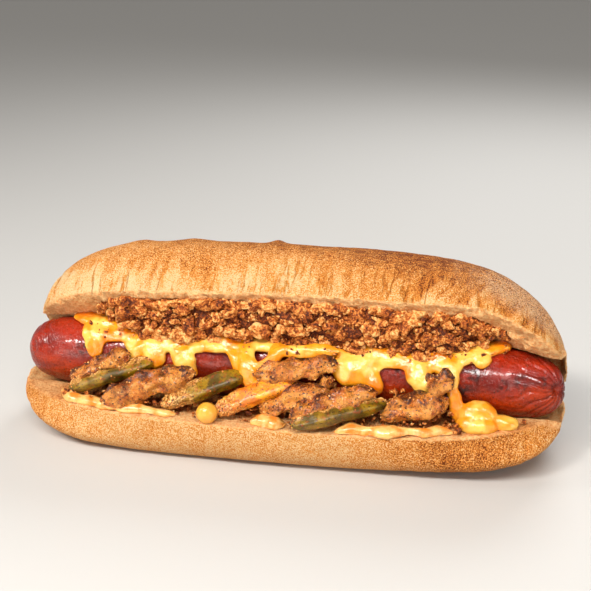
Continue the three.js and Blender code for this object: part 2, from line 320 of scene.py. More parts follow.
# %% Using the group
def patch(tree, size, low=0.4, high=0.6, stretch=(1, 1, 1), detail=3.0):
    """A mask of patches about size millimetres wide."""
    group = place(tree, "ShaderNodeGroup", node_tree=patches)
    values = {"Size mm": size, "Stretch": stretch, "Low": low, "High": high, "Detail": detail}
    for key, value in values.items():
        group.inputs[key].default_value = value
    return group.outputs["Mask"]


def blended(tree, base, over, mask):
    """One colour laid over another where the mask is 1."""
    node = place(tree, "ShaderNodeMix", data_type="RGBA")
    for socket, value in zip((node.inputs[6], node.inputs[7], node.inputs[0]), (base, over, mask)):
        if isinstance(value, bpy.types.NodeSocket):
            tree.links.new(value, socket)
        else:
            socket.default_value = value
    return node.outputs[2]


def maths(tree, operation, a, b=0.0):
    return place(tree, "ShaderNodeMath", {0: a, 1: b}, operation=operation).outputs[0]


def plus(tree, a, b):
    return maths(tree, "ADD", a, b)


def minus(tree, a, b):
    return maths(tree, "SUBTRACT", a, b)


def times(tree, a, b):
    return maths(tree, "MULTIPLY", a, b)


def spread_over(tree, value, **limits):
    """A value brought to other limits; limits are From_Min, From_Max, To_Min and To_Max."""
    inputs = {"Value": value, **{key.replace("_", " "): limit for key, limit in limits.items()}}
    return place(tree, "ShaderNodeMapRange", inputs).outputs["Result"]


def stored(tree, name):
    """A value that was stored on the points of the piece."""
    return place(tree, "ShaderNodeAttribute", attribute_name=name).outputs["Fac"]


def ramp(tree, value, stops):
    node = place(tree, "ShaderNodeValToRGB", {"Fac": value})
    ends = node.color_ramp.elements
    while len(ends) < len(stops):
        ends.new(0.5)
    for end, (spot, tint) in zip(ends, stops):
        end.position = spot
        end.color = tint
    return node.outputs["Color"]


def new_material(name, roughness, **fixed):
    """A material with a Principled shader, and values that are the same all over it."""
    material = bpy.data.materials.new(name)
    material.use_nodes = True
    shader = material.node_tree.nodes["Principled BSDF"]
    shader.inputs["Roughness"].default_value = roughness
    shader.inputs["Subsurface Scale"].default_value = 0.5
    for key, value in fixed.items():
        shader.inputs[key.replace("_", " ")].default_value = value
    return material, material.node_tree, shader


def bumped(tree, shader, height, depth_mm, strength=1.0, gloss=0.3):
    """Fine relief; the glossy coat follows it at the share gloss, so highlights break up."""
    for socket, depth in (("Normal", depth_mm), ("Coat Normal", depth_mm * gloss)):
        relief = {"Height": height, "Distance": depth * MM, "Strength": strength}
        bump = place(tree, "ShaderNodeBump", relief)
        tree.links.new(bump.outputs["Normal"], shader.inputs[socket])


# %% [markdown]
# ## The roll
# A soft white roll: pale and creased where its side wall was stretched in the oven, golden
# above that, and brown with fine dark specks on top. The knife left a pale, open crumb on both
# cut faces, and fat from the filling has stained the lower one. The two halves are made by
# rule, joined into one skin by a voxel remesh, and the relief is pushed into that skin. How
# brown, floury or stained each point is gets stored on it for the material, and so does the
# painted shade for its creases, the pulled lines of its wall and the holes of its crumb.

# %% Sizes of the roll
ROLL_RIGHT = 102.3
LOWER_LEFT = 100.7
UPPER_LEFT = 95.0
ROLL_WIDTH = 70.0
CUT_HEIGHT = 18.0
UPPER_THICKNESS = 32.4
HINGE_Y = 24.0
OPEN_RIGHT = math.radians(46.5)
OPEN_LEFT = math.radians(42)
BASE_OVERSHOOT = 5.0
BASE_EASE = 1.8
RIGHT_LIFT = 2.5  # the lower cut face climbs this far towards the right end
RIGHT_DROOP = 8.0  # the upper half hangs this far down over the right tip of the sausage
# how blunt each end is: from above at the cut, from above at the belly, and from the side
LOWER_ENDS = {"left": (3.1, 6.4, 5), "right": (2.9, 8.9, 4)}
UPPER_ENDS = {"left": (5.6, 5.4, 4.6), "right": (8, 2.8, 4.4)}
# where along the crown a bubble swelled in the oven, how wide and how high it is
BLISTERS = ((-57, 4.5, 1.1), (-36.5, 6.5, 1.4), (-5, 2.4, 2.0))
SAUSAGE_RADIUS = 12.5
SAUSAGE_LENGTH = 198.5
SAUSAGE_MIDDLE = Vector((1.75, -4.5, 29.5))
ROLL_VOXEL = 0.74
TUFTS = 80


def open_angle(x):
    return mix(OPEN_RIGHT, OPEN_LEFT, clamped(-x / LOWER_LEFT))


def swung(point):
    """Where a point of the upper half goes when the mouth opens."""
    angle = open_angle(point.x)
    reach, height = point.y - HINGE_Y, point.z - CUT_HEIGHT
    y = HINGE_Y + reach * math.cos(angle) + height * math.sin(angle)
    z = CUT_HEIGHT - reach * math.sin(angle) + height * math.cos(angle)
    return Vector((point.x, y, z))


def shut(point):
    """The reverse: where a point of the upper half was while the roll was whole."""
    angle = open_angle(point.x)
    reach, height = point.y - HINGE_Y, point.z - CUT_HEIGHT
    y = HINGE_Y + reach * math.cos(angle) - height * math.sin(angle)
    z = CUT_HEIGHT + reach * math.sin(angle) + height * math.cos(angle)
    return Vector((point.x, y, z))


# %% The cut faces
def away_from_hinge(y):
    return clamped((HINGE_Y - y) / 20)


def lower_cut(x, y):
    return CUT_HEIGHT + RIGHT_LIFT * smooth_step(x, 60, 101) * away_from_hinge(y)


def upper_cut(x, y):
    """The cut face of the upper half, while the roll is shut."""
    return CUT_HEIGHT - RIGHT_DROOP * smooth_step(x, 68, 101) * away_from_hinge(y)


# %% The two halves
def half_roll(is_upper):
    shape = ball(128, 120)
    for vert in shape.verts:
        share = vert.co.x
        side, rise = section(vert.co)
        rise = max(0.0, rise if is_upper else -rise)
        lip, belly, end = (UPPER_ENDS if is_upper else LOWER_ENDS)["left" if share < 0 else "right"]
        plan = mix(fullness(share, lip), fullness(share, belly), smooth_step(rise, 0, 0.6))
        width = math.copysign(abs(side) ** 0.82, side) if rise > 0 else side
        x = share * ((UPPER_LEFT if is_upper else LOWER_LEFT) if share < 0 else ROLL_RIGHT)
        y = width * plan * ROLL_WIDTH / 2
        crust = rise**0.82 * fullness(share, end)
        if is_upper:
            bulge = hump(side + 0.42, 0.26) * (rise > 0)
            blister = bulge * sum(high * hump(x - spot, wide) for spot, wide, high in BLISTERS)
            z = mix(upper_cut(x, y), CUT_HEIGHT, crust) + crust * UPPER_THICKNESS + blister
            vert.co = swung(Vector((x, y, z)))
        else:
            overshoot = BASE_OVERSHOOT - BASE_EASE * hump(x - 58, 32)
            z = mix(lower_cut(x, y), CUT_HEIGHT, crust) - crust * (CUT_HEIGHT + overshoot)
            vert.co = (x, y, max(0.0, z))
    return shape


def torn_lumps():
    """Tufts of torn crumb that hang from the cut face of the upper half."""
    draw = random.Random(31)
    tufts = bmesh.new()
    for i in range(TUFTS):
        x = mix(-84, 94, (i + draw.random()) / TUFTS)
        lip = ROLL_WIDTH / 2 * (1 - abs(x / (UPPER_LEFT if x < 0 else ROLL_RIGHT)) ** 6) ** 0.5
        y = -lip + mix(2.4, 9, draw.random())
        tuft = ball(10, 8)
        long = mix(1.4, 4, draw.random())
        deep = mix(1.2, 2.4, draw.random())
        size = Vector((long, deep, mix(0.5, 1.3, draw.random() ** 1.5)))
        for vert in tuft.verts:
            vert.co = swung(vert.co * size + Vector((x, y, upper_cut(x, y))))
        add_shape(tufts, tuft)
    return tufts


roll = half_roll(True)
add_shape(roll, half_roll(False))
add_shape(roll, torn_lumps())
roll = remeshed(roll, ROLL_VOXEL)
smoothed(roll, 1)
print("roll points:", len(roll.verts))


# %% Which half, and how far from the cut
def from_cut(point):
    """(is upper, height above or below the cut in the whole roll) of a point of the skin."""
    turn = math.atan2(point.z - CUT_HEIGHT, HINGE_Y - point.y)
    lean = open_angle(point.x) / 2
    is_upper = lean < turn or turn < lean - math.pi
    if is_upper:
        closed = shut(point)
        return True, closed.z - upper_cut(point.x, closed.y)
    return False, lower_cut(point.x, point.y) - point.z


def on_cut(point, normal):
    """1 on a cut face, 0 on the crust."""
    is_upper, height = from_cut(point)
    angle = open_angle(point.x)
    facing = -(normal.y * math.sin(angle) + normal.z * math.cos(angle)) if is_upper else normal.z
    from_middle = math.hypot(point.y - SAUSAGE_MIDDLE.y, point.z - SAUSAGE_MIDDLE.z)
    near_sausage = from_middle < SAUSAGE_RADIUS + 2.5
    inside = 1.0 if near_sausage else smooth_step(-height, -0.7, 0.1)
    return max(inside, smooth_step(facing, 0.45, 0.8) * smooth_step(-height, -3.2, -2.2))


# %% Relief of the crust and of the crumb
def crease(point, is_upper, height):
    """1 in the fine creases that run up the pale side wall, 0 between them."""
    slant = 0.5 * smooth_step(point.x, 0, 60) if is_upper else 0.1
    along = point.x - slant * height + 1.6 * noise.noise(Vector((height / 8, point.x / 14, 4)))
    line = noise.noise(Vector((along / 4.2, height / 45, 7.7 if is_upper else 3.3)))
    some = smooth_step(noise.noise(Vector((along / 15, height / 26, 1.1))), -0.3, 0.25)
    on_wall = smooth_step(height, 0.3, 2) * (1 - smooth_step(height, 7, 20))
    return hump(line, 0.2) * some * on_wall


def crumb_holes(point):
    return abs(rough(point, 3.4, 8)) + 0.7 * abs(rough(point, 1.7, 9))


def roll_relief(point, normal):
    if point.z < 0.05:
        return 0.0
    is_upper, height = from_cut(point)
    crumb = on_cut(point, normal)
    uneven = 0.3 + 0.5 * rough(point, 32, 1) + 0.26 * rough(point, 11, 2) + 0.12 * rough(point, 4.5, 6)
    creased = crease(point, is_upper, height) * (1.0 if is_upper else 0.45)
    crust = uneven - creased + 0.09 * rough(point, 1.9, 7)
    depth = 0.8 if is_upper else 0.6
    open_crumb = 0.4 * rough(point, 9, 10) + depth * (0.35 - crumb_holes(point))
    return mix(crust, open_crumb, crumb) * smooth_step(point.z, 0, 3)


def clear_of_sausage(shape, gap):
    """Presses a groove for the sausage into the bread."""
    for vert in shape.verts:
        if abs(vert.co.x - SAUSAGE_MIDDLE.x) > SAUSAGE_LENGTH / 2:
            continue
        arm = Vector((0, vert.co.y - SAUSAGE_MIDDLE.y, vert.co.z - SAUSAGE_MIDDLE.z))
        if 0 < arm.length < SAUSAGE_RADIUS + gap:
            vert.co += arm.normalized() * (SAUSAGE_RADIUS + gap - arm.length)


pushed(roll, roll_relief)
clear_of_sausage(roll, 0.2)
smoothed(roll, 1, 0.2)
print("lowest point of the roll:", round(min(vert.co.z for vert in roll.verts), 3))

# %% Browning, and painted shade in creases and crumb holes, stored on the points
bake, crumb_layer, flour, stain, crease_shade_layer, pore_shade, wall = (
    roll.verts.layers.float.new(name)
    for name in ("bake", "crumb", "flour", "stain", "crease", "pore_shade", "wall")
)
for vert in roll.verts:
    spot = vert.co
    is_upper, height = from_cut(spot)
    share = height / (UPPER_THICKNESS if is_upper else CUT_HEIGHT)
    patchy = 0.16 * rough(spot, 24, 12) + 0.1 * rough(spot, 8, 13)
    patchy += 0.12 * noise.noise(Vector((spot.x / 3, height / 16, 2.2)))
    to_right = smooth_step(spot.x, -35, 60)
    if is_upper:
        grown = share + patchy + 0.35 * to_right
        golden, browned = smooth_step(grown, 0.24, 0.48), smooth_step(grown, 0.42, 1.15)
        vert[bake] = 0.04 + 0.3 * golden + 0.4 * browned + 0.06 * to_right
        vert[flour] = smooth_step(spot.x + 50 * patchy, 56, 88) * smooth_step(share, 0.05, 0.35)
        vert[bake] -= 0.16 * vert[flour]
    else:
        ends = smooth_step(spot.x, 20, 70) - 0.6 * smooth_step(spot.x, 80, 98)
        ends += 0.7 * smooth_step(-spot.x, 60, 100)
        vert[bake] = 0.2 + 0.3 * patchy + 0.36 * ends + 0.25 * smooth_step(share, 0.75, 1.05)
    vert[crumb_layer] = on_cut(spot, vert.normal)
    # the crease value is used as painted shade in the creases
    vert[crease_shade_layer] = crease(spot, is_upper, height) * (1 if is_upper else 0.3)
    vert[wall] = smooth_step(height, -1, 1.5) * (1 - smooth_step(share + 1.5 * patchy, 0.1, 0.7))
    vert[wall] *= smooth_step(rough(spot, 9, 16), -0.6, 0.4) * (1 if is_upper else 0.3)
    # painted shade in the holes of the crumb, where the relief is pushed in
    vert[pore_shade] = smooth_step(crumb_holes(spot), 0.25, 0.6)
    front = smooth_step(-spot.y, 4, 12) * (1 - smooth_step(-spot.y, 24, 31 + 7 * rough(spot, 7, 15)))
    vert[stain] = 0.0 if is_upper else front * smooth_step(rough(spot, 9, 14), -0.5, 0.35)

# %% Bread material
bread, tree, shader = new_material("toasted_bread", 0.75, Specular_IOR_Level=0.15)
stipple = patch(tree, 0.45, 0.36, 0.64, detail=4)
coarse = patch(tree, 1.6, 0.3, 0.7, detail=4)
broad = patch(tree, 7, 0.3, 0.7)
# how brown the crust is, from 0 to 1: patches, plus painted shade in the creases and in the pulled lines
# of the pale wall
brown = plus(tree, stored(tree, "bake"), times(tree, minus(tree, broad, 0.5), 0.1))
brown = plus(tree, brown, times(tree, minus(tree, coarse, 0.5), 0.16))
# painted shade in the creases
brown = plus(tree, brown, times(tree, stored(tree, "crease"), 0.3))
pulled = maths(tree, "ABSOLUTE", minus(tree, patch(tree, 5, 0.0, 1.0, (1, 0.16, 0.16), 4), 0.5))
pulled = maths(tree, "MAXIMUM", minus(tree, 1.0, maths(tree, "DIVIDE", pulled, 0.07)), 0.0)
pulled_groove_and_shade = times(tree, stored(tree, "wall"), pulled)
# painted shade in the pulled lines of the wall, which the bump below also cuts in as grooves
brown = plus(tree, brown, times(tree, pulled_groove_and_shade, 0.42))
brown = minus(tree, brown, times(tree, stored(tree, "wall"), 0.1))
spread = plus(tree, times(tree, stored(tree, "bake"), 0.5), 0.7)
spread = plus(tree, spread, times(tree, stored(tree, "flour"), 0.4))
spread = minus(tree, spread, times(tree, stored(tree, "wall"), 0.35))
brown = plus(tree, brown, times(tree, minus(tree, stipple, 0.46), spread))
crust_tone = ramp(
    tree,
    brown,
    [
        (0.0, colour(238, 200, 148)),
        (0.2, colour(231, 172, 100)),
        (0.42, colour(222, 140, 54)),
        (0.65, colour(206, 119, 40)),
        (0.85, colour(180, 96, 36)),
        (1.0, colour(104, 46, 16)),
    ],
)
streak = patch(tree, 1.7, 0.49, 0.58, (0.35, 1, 1), 5)
well_baked = spread_over(tree, stored(tree, "bake"), From_Min=0.45, From_Max=0.75)
fleck = times(tree, streak, times(tree, well_baked, 0.7))
crust_tone = blended(tree, crust_tone, colour(112, 46, 18), fleck)
dusted = times(tree, stored(tree, "flour"), patch(tree, 0.6, 0.46, 0.56, detail=3))
crust_tone = blended(tree, crust_tone, colour(248, 208, 168), times(tree, dusted, 0.65))
pores = patch(tree, 0.9, 0.34, 0.6, detail=4)
crumb_tone = blended(tree, colour(244, 162, 92), colour(255, 208, 146), pores)
# painted shade in the holes of the crumb
crumb_tone = blended(tree, crumb_tone, colour(186, 112, 54), times(tree, stored(tree, "pore_shade"), 0.3))
fat_tone = blended(tree, colour(168, 80, 26), colour(222, 138, 60), pores)
crumb_tone = blended(tree, crumb_tone, fat_tone, times(tree, stored(tree, "stain"), 0.8))
tree.links.new(blended(tree, crust_tone, crumb_tone, stored(tree, "crumb")), shader.inputs["Base Color"])
grained = minus(tree, patch(tree, 0.6, 0.3, 0.7, detail=3), times(tree, pulled_groove_and_shade, 2.0))
bumped(tree, shader, grained, 0.42)
finished("bun_skin", roll, bread, "bread", "bun")

# %% [markdown]
# ## The sausage
# A thick grilled sausage in a natural skin: brick red and greasy on top, duller and browner
# below, with dark grill specks. Its right end is drawn together, so folds of skin run into a
# small pit. The left end is rounder, with a few creases. A fine ball is stretched into the
# form and the folds are pushed in.

# %% Form of the sausage
TIP_TURN = 3.0
WRINKLES = 16
RIGHT_PIT = Vector((98.4, -14.2, 32.4))  # where the skin is drawn together
PIT_FACING = Vector((0.66, -0.69, 0.28)).normalized()
PIT_ACROSS = PIT_FACING.cross(Vector((0, 0, 1))).normalized()
PIT_UP = PIT_ACROSS.cross(PIT_FACING)


def sausage_shape():
    shape = ball(168, 330)
    for vert in shape.verts:
        share = vert.co.x
        side, rise = section(vert.co)
        x = share * SAUSAGE_LENGTH / 2
        swell = fullness(share, 15) * SAUSAGE_RADIUS
        girth = 1 + 0.012 * math.sin(x / 17) + 0.01 * math.sin(x / 7 + 1)
        turn = clamped((share - 0.8) / 0.2) * TIP_TURN
        vert.co = Vector((x, side * swell * girth - turn, rise * swell * girth)) + SAUSAGE_MIDDLE
    return shape


def gathered(point, normal):
    """The folds where the skin is drawn together at the right end, and the creases at the left."""
    dents = 0.22 * rough(point, 7, 21) + 0.1 * rough(point, 2.4, 22)
    if point.x > 60:
        arm = point - RIGHT_PIT
        round_about = math.atan2(arm.dot(PIT_UP), arm.dot(PIT_ACROSS))
        circle = Vector((math.sin(round_about), math.cos(round_about), 0))
        wander = 1.8 * noise.noise(circle * 1.3 + Vector((0, 0, arm.length / 7)))
        fold = math.sin(round_about * WRINKLES / 2 + wander)
        some = smooth_step(noise.noise(circle * 2 + Vector((0, 0, 5))), -0.5, 0.3)
        reach = 12 * (0.6 + 0.6 * some)
        fade = smooth_step(arm.length, 0, 2.5) * hump(arm.length, reach)
        ridge = hump(fold, 0.35) - 0.35
        return dents - 1.15 * ridge * fade - 2.0 * hump(arm.length, 1.7)
    if point.x < -80:
        along = point.x + 0.25 * point.z + 2.2 * rough(point, 7, 24)
        line = hump(noise.noise(Vector((along / 3.4, 0, 2))), 0.1)
        some = smooth_step(rough(point, 9, 25), -0.1, 0.35) * smooth_step(-point.x, 82, 88)
        return dents - 0.5 * line * some
    return dents


# %% Where the skin is scorched and where it is red
# distance along X, angle from the top to the front, size of each scorched spot
GRILL_SPOTS = (
    (86, 66, 2.4), (80, 74, 2), (67, 88, 4), (70, 62, 3.5),
    (-72, 66, 3), (44, 60, 3), (-16, 52, 3.5), (93, 62, 2),
)
ARC = 0.22  # millimetres on the skin for each degree round the sausage


def lean_of(point):
    """Degrees from the top of the sausage round to its front."""
    return math.degrees(math.atan2(SAUSAGE_MIDDLE.y - point.y, point.z - SAUSAGE_MIDDLE.z))


def spot_share(point, spots):
    """1 on the nearest of the spots, and less away from it."""
    lean = lean_of(point)
    return max(
        math.exp(-(((point.x - x) / size) ** 2) - (((lean - angle) * ARC / size) ** 2))
        for x, angle, size in spots
    )


sausage = sausage_shape()
pushed(sausage, gathered)
char, red = (sausage.verts.layers.float.new(name) for name in ("char", "red"))
for vert in sausage.verts:
    broken_up = smooth_step(rough(vert.co, 1.5, 20), -0.25, 0.15)
    vert[char] = spot_share(vert.co, GRILL_SPOTS) * broken_up
    vert[red] = smooth_step(lean_of(vert.co) + 22 * rough(vert.co, 12, 23), 96, 56)

# %% Skin of the sausage
skin, tree, shader = new_material(
    "grilled_skin",
    0.25,
    Coat_Roughness=0.09,
    Specular_IOR_Level=0.15,
    Subsurface_Weight=0.04,
    Subsurface_Radius=(0.003, 0.0008, 0.0004),
)
streaks = patch(tree, 6, 0.3, 0.7, (0.4, 1, 1), 4)
above = blended(tree, colour(104, 14, 3), colour(164, 38, 8), streaks)
below = blended(tree, colour(98, 18, 2), colour(164, 48, 4), streaks)
tone = blended(tree, below, above, stored(tree, "red"))
mottle = patch(tree, 1.2, 0.52, 0.66, detail=4)
tone = blended(tree, tone, colour(84, 14, 8), times(tree, mottle, 0.3))
tone = blended(tree, tone, colour(30, 9, 5), times(tree, stored(tree, "char"), 0.95))
tone = blended(tree, tone, colour(44, 12, 7), patch(tree, 0.8, 0.65, 0.7, detail=2))
tree.links.new(tone, shader.inputs["Base Color"])
greasy = spread_over(tree, stored(tree, "red"), To_Min=0.3, To_Max=0.75)
tree.links.new(greasy, shader.inputs["Coat Weight"])
dull = spread_over(tree, patch(tree, 0.9, 0.35, 0.65, detail=4), To_Min=0.2, To_Max=0.45)
tree.links.new(dull, shader.inputs["Roughness"])
bumped(tree, shader, patch(tree, 1.2, 0.45, 0.56, detail=3), 0.13, 1, 0.7)
finished("sausage_skin", sausage, skin, "sausage", "sausage")

# %% [markdown]
# ## Strips of chicken and pepper
# The chicken strips are knobbly and fibrous, browned and dusted with ground spice. The pepper
# strips are flatter, with a smooth skin side. All lean on the sausage, each from its lower
# left end on the bread to its upper right end.

# %% Places of the strips
# name, kind, lower left end, upper right end, width, thickness
STRIPS = [
    ("green_pepper_left", "green", (-76, -22.5, 21.3), (-44, -20.8, 33.6), 7, 4.6),
    ("green_pepper_middle", "green", (-39, -28, 20.8), (-9.5, -21.8, 32), 7.4, 5),
    ("green_pepper_right", "green", (9.5, -37, 20.6), (41, -23.6, 26.4), 5.4, 4.8),
    ("yellow_pepper", "yellow", (-19, -30.5, 20.6), (8.5, -22, 31.8), 7.4, 5.6),
    ("chicken_1", "chicken", (-76, -19.5, 24.5), (-53, -20.4, 35.4), 6.4, 6),
    ("chicken_2", "chicken", (-61, -28.4, 21), (-28, -22.4, 31.6), 8.6, 8),
    ("chicken_3", "chicken", (-5.5, -22, 32.4), (22.5, -20, 37.8), 8, 7.2),
    ("chicken_4", "chicken", (-3, -27.5, 21.6), (21, -24, 29.6), 8, 7),
    ("chicken_5", "chicken", (8.5, -31.6, 21.4), (37, -22.6, 30), 8.4, 7.4),
    ("chicken_6", "chicken", (40, -25, 23), (62, -22, 28.6), 9, 8),
    ("chicken_7", "chicken", (54.5, -20.8, 33), (63, -20.6, 36), 7.6, 7),
    ("chicken_8", "chicken", (16.6, -21.6, 28.6), (20, -20.6, 33.6), 4.4, 4),
]
SQUARE = {"chicken": 0.85, "green": 0.45, "yellow": 0.6}
LUMPS = {"chicken": 0.6, "green": 0.14, "yellow": 0.16}


# %% Form and relief of a strip
def strip_relief(kind, place_in_strip, dust):
    """How far coarse lumps and fine grit stand out; the fibres of the meat run along the strip."""
    along, across, out = place_in_strip
    grit = 0.26 * rough(place_in_strip, 1.2, 33) + 0.2 * rough(place_in_strip, 0.6, 34)
    if kind == "chicken":
        fibres = Vector((0.35 * along, across, out))
        rubbed = mix(0.35, 1.15, smooth_step(rough(place_in_strip, 5, 36), -0.3, 0.35))
        return 1.5 * rough(place_in_strip, 6, 31) + 0.7 * rough(fibres, 2.4, 32), grit * rubbed
    return 0.35 * rough(place_in_strip, 8, 35), mix(0.1 * grit, grit, dust)


def strip_shape(kind, start, end, wide, thick, dusting, seed):
    """A strip as a stretched ball that bows outwards, with lumps, fibres and clinging spice."""
    start, end = Vector(start), Vector(end)
    half = (end - start).length / 2
    along = (end - start).normalized()
    across = Vector((0, -0.5, 0.86)).cross(along).normalized()
    outward = along.cross(across)
    middle = (start + end) / 2
    by_share, by_side, shift = dusting
    shape = ball(100, 128)
    dust, grit, under, seared = (
        shape.verts.layers.float.new(name) for name in ("dust", "grit", "under", "seared")
    )
    for vert in shape.verts:
        share = vert.co.x
        side, rise = section(vert.co, SQUARE[kind])
        swell = fullness(share, 4.4)
        lump = 1 + LUMPS[kind] * noise.noise(Vector((share * half / 4.6, 0.9 * side, seed + 0.9 * rise)))
        inside = Vector((share * half, side * wide / 2, rise * thick / 2))
        gathers = by_share * share + by_side * side + shift
        spice = smooth_step(gathers + 0.5 * rough(inside, 3, seed), -0.25, 0.25)
        coarse, fine = strip_relief(kind, inside + Vector((9 * seed, 0, 0)), spice)
        out = Vector((0.6 * share**5, side * swell, rise * swell))
        spot = Vector((share * half, side * swell * wide / 2 * lump, rise * swell * thick / 2 * lump))
        spot += out.normalized() * (coarse + fine) if out.length > 1e-6 else out
        spot.z += (1 - share**2) * 0.06 * half
        spot.y += 0.9 * noise.noise(Vector((share * 1.3, 3.1, seed)))
        vert.co = middle + along * spot.x + across * spot.y + outward * spot.z
        blotch = rough(inside, 4, 39 + seed)
        # grit follows the height of the fine relief, for painted shade in its hollows and painted light
        # on its grains
        vert[dust], vert[grit] = spice, 0.5 + 1.1 * fine - 0.12 * coarse
        vert[under] = smooth_step(side + 0.9 * blotch, 0.3, -0.5)
        vert[seared] = smooth_step(side + 0.5 * share**4 + 1.4 * blotch, 0.1, 0.6)
    shape.normal_update()
    return shape


# %% Spice on the strips
def spiced(tree, base, amount):
    """Paprika in patches and coarse black pepper on a colour."""
    paprika = patch(tree, 1.4, 0.54, 0.64, detail=4)
    pepper = patch(tree, 0.8, 0.6, 0.64, detail=2)
    tone = blended(tree, base, colour(158, 58, 14), times(tree, paprika, amount))
    return blended(tree, tone, colour(36, 14, 8), times(tree, pepper, 0.85))


def grit_shaded_seasoning(tree, dark, middle, pale):
    """Seasoning whose colour follows the height of its grit: painted shade in its hollows and painted
    light on its raised grains.
    """
    shade_and_tone_level = plus(tree, stored(tree, "grit"), times(tree, patch(tree, 0.7, 0.3, 0.7), 0.5))
    return ramp(tree, shade_and_tone_level, [(0.35, dark), (0.7, middle), (1.1 / 1.12, pale)])


# %% Materials of the strips
meat, tree, shader = new_material(
    "browned_chicken",
    0.4,
    Coat_Weight=0.7,
    Coat_Roughness=0.1,
    Specular_IOR_Level=0.2,
    Subsurface_Weight=0.03,
    Subsurface_Radius=(0.003, 0.0012, 0.0006),
)
# seasoned crust with painted shade in its hollows and painted light on its grains
tone = grit_shaded_seasoning(tree, colour(50, 14, 3), colour(134, 58, 10), colour(218, 132, 44))
pale = times(tree, stored(tree, "under"), patch(tree, 4.5, 0.36, 0.56, detail=3))
tone = blended(tree, tone, colour(234, 158, 68), times(tree, pale, 0.7))
oiled = patch(tree, 3.5, 0.5, 0.62, detail=4)
tone = blended(tree, tone, colour(200, 96, 14), times(tree, oiled, 0.45))
brown_spots = maths(tree, "MAXIMUM", patch(tree, 3.2, 0.58, 0.68, detail=5), stored(tree, "seared"))
brown_spots = times(tree, brown_spots, patch(tree, 1.0, 0.3, 0.55, detail=3))
tone = blended(tree, tone, colour(48, 14, 5), times(tree, brown_spots, 0.95))
tree.links.new(spiced(tree, tone, 0.35), shader.inputs["Base Color"])
bumped(tree, shader, patch(tree, 0.9, 0.36, 0.64, detail=4), 0.35, 0.8, 0.4)

green_skin, tree, shader = new_material(
    "green_pepper_skin", 0.34, Coat_Weight=0.12, Coat_Roughness=0.12, Specular_IOR_Level=0.35
)
tone = blended(tree, colour(78, 60, 4), colour(146, 110, 12), patch(tree, 6, 0.4, 0.62))
tone = blended(tree, tone, colour(54, 42, 2), times(tree, patch(tree, 2.4, 0.56, 0.7), 0.6))
# seasoning with painted shade in its hollows and painted light on its grains
coat = grit_shaded_seasoning(tree, colour(84, 46, 10), colour(176, 112, 40), colour(244, 196, 120))
tone = blended(tree, tone, coat, times(tree, stored(tree, "dust"), 0.92))
tree.links.new(spiced(tree, tone, 0.5), shader.inputs["Base Color"])
bumped(tree, shader, patch(tree, 0.8, 0.2, 0.8, detail=4), 0.2, 0.5)

yellow_skin, tree, shader = new_material(
    "yellow_pepper_skin", 0.28, Coat_Weight=0.4, Coat_Roughness=0.18
)
tone = blended(tree, colour(214, 104, 8), colour(248, 172, 22), patch(tree, 6, 0.35, 0.65))
# seasoning with painted shade in its hollows and painted light on its grains
coat = grit_shaded_seasoning(tree, colour(120, 52, 10), colour(192, 112, 36), colour(236, 176, 92))
tone = blended(tree, tone, coat, stored(tree, "dust"))
tree.links.new(spiced(tree, tone, 0.7), shader.inputs["Base Color"])
bumped(tree, shader, patch(tree, 0.9, 0.2, 0.8, detail=4), 0.25, 0.6)

# %% The strips themselves
STRIP_LOOKS = {
    "chicken": (meat, "chicken"),
    "green": (green_skin, "green_pepper"),
    "yellow": (yellow_skin, "yellow_pepper"),
}
# how much the spice gathers to the right end, to the upper side, and everywhere
DUSTINGS = {
    "green_pepper_left": (0, 1, 0.05),
    "green_pepper_middle": (-1, 0.3, -0.15),
    "green_pepper_right": (0.2, 0.8, -0.3),
    "yellow_pepper": (-1, 0, -0.45),
}
DUSTED_ALL_OVER = (0, 0, 1)
GRAINS_PER_MM = 7


def grain(size, middle, draw):
    """A granule with 20 faces, about size millimetres in radius."""
    shape = bmesh.new()
    bmesh.ops.create_icosphere(shape, subdivisions=1, radius=size)
    for vert in shape.verts:
        vert.co = vert.co * draw.uniform(0.7, 1.25) + middle
    return shape


draw = random.Random(97)
seasoning = bmesh.new()
hue = seasoning.verts.layers.float.new("hue")
for number, (name, kind, start, end, wide, thick) in enumerate(STRIPS):
    material, slot = STRIP_LOOKS[kind]
    dusting = DUSTINGS.get(name, DUSTED_ALL_OVER)
    strip = strip_shape(kind, start, end, wide, thick, dusting, 3.7 + 2.3 * number)
    dust = strip.verts.layers.float["dust"]
    strip.verts.ensure_lookup_table()
    for _ in range(round(GRAINS_PER_MM * (Vector(end) - Vector(start)).length)):
        vert = draw.choice(strip.verts)
        if vert.normal.y > 0.3 or draw.random() > 0.15 + vert[dust]:
            continue
        granule = grain(draw.uniform(0.16, 0.42), vert.co.copy(), draw)
        add_toned(seasoning, hue, granule, draw.random())
    finished(name + "_strip", strip, material, slot, name)

# %% Seasoning on the strips
spice, tree, shader = new_material("coarse_seasoning", 0.5)
tone = ramp(
    tree,
    plus(tree, stored(tree, "hue"), times(tree, patch(tree, 0.5, 0.3, 0.7), 0.1)),
    [
        (0.0, colour(32, 12, 6)),
        (0.22, colour(52, 20, 8)),
        (0.3, colour(140, 52, 14)),
        (0.5, colour(186, 96, 34)),
        (0.8, colour(214, 138, 62)),
        (1.0, colour(236, 184, 116)),
    ],
)
tree.links.new(tone, shader.inputs["Base Color"])
bumped(tree, shader, patch(tree, 0.4, 0.3, 0.7), 0.1, 0.5)
finished("seasoning_grains", seasoning, spice, "chicken")

# %% [markdown]
# ## Melted cheese
# Two cheeses melted together: an orange yellow one and a pale one. It lies on the sausage as
# a thick sheet, hangs down in rounded drips, and bridges the strips in strands. Each run of
# cheese is a stretched ball that follows the sausage; a voxel remesh melts the runs into one
# skin, and smoothing gives the soft webs between the drips.

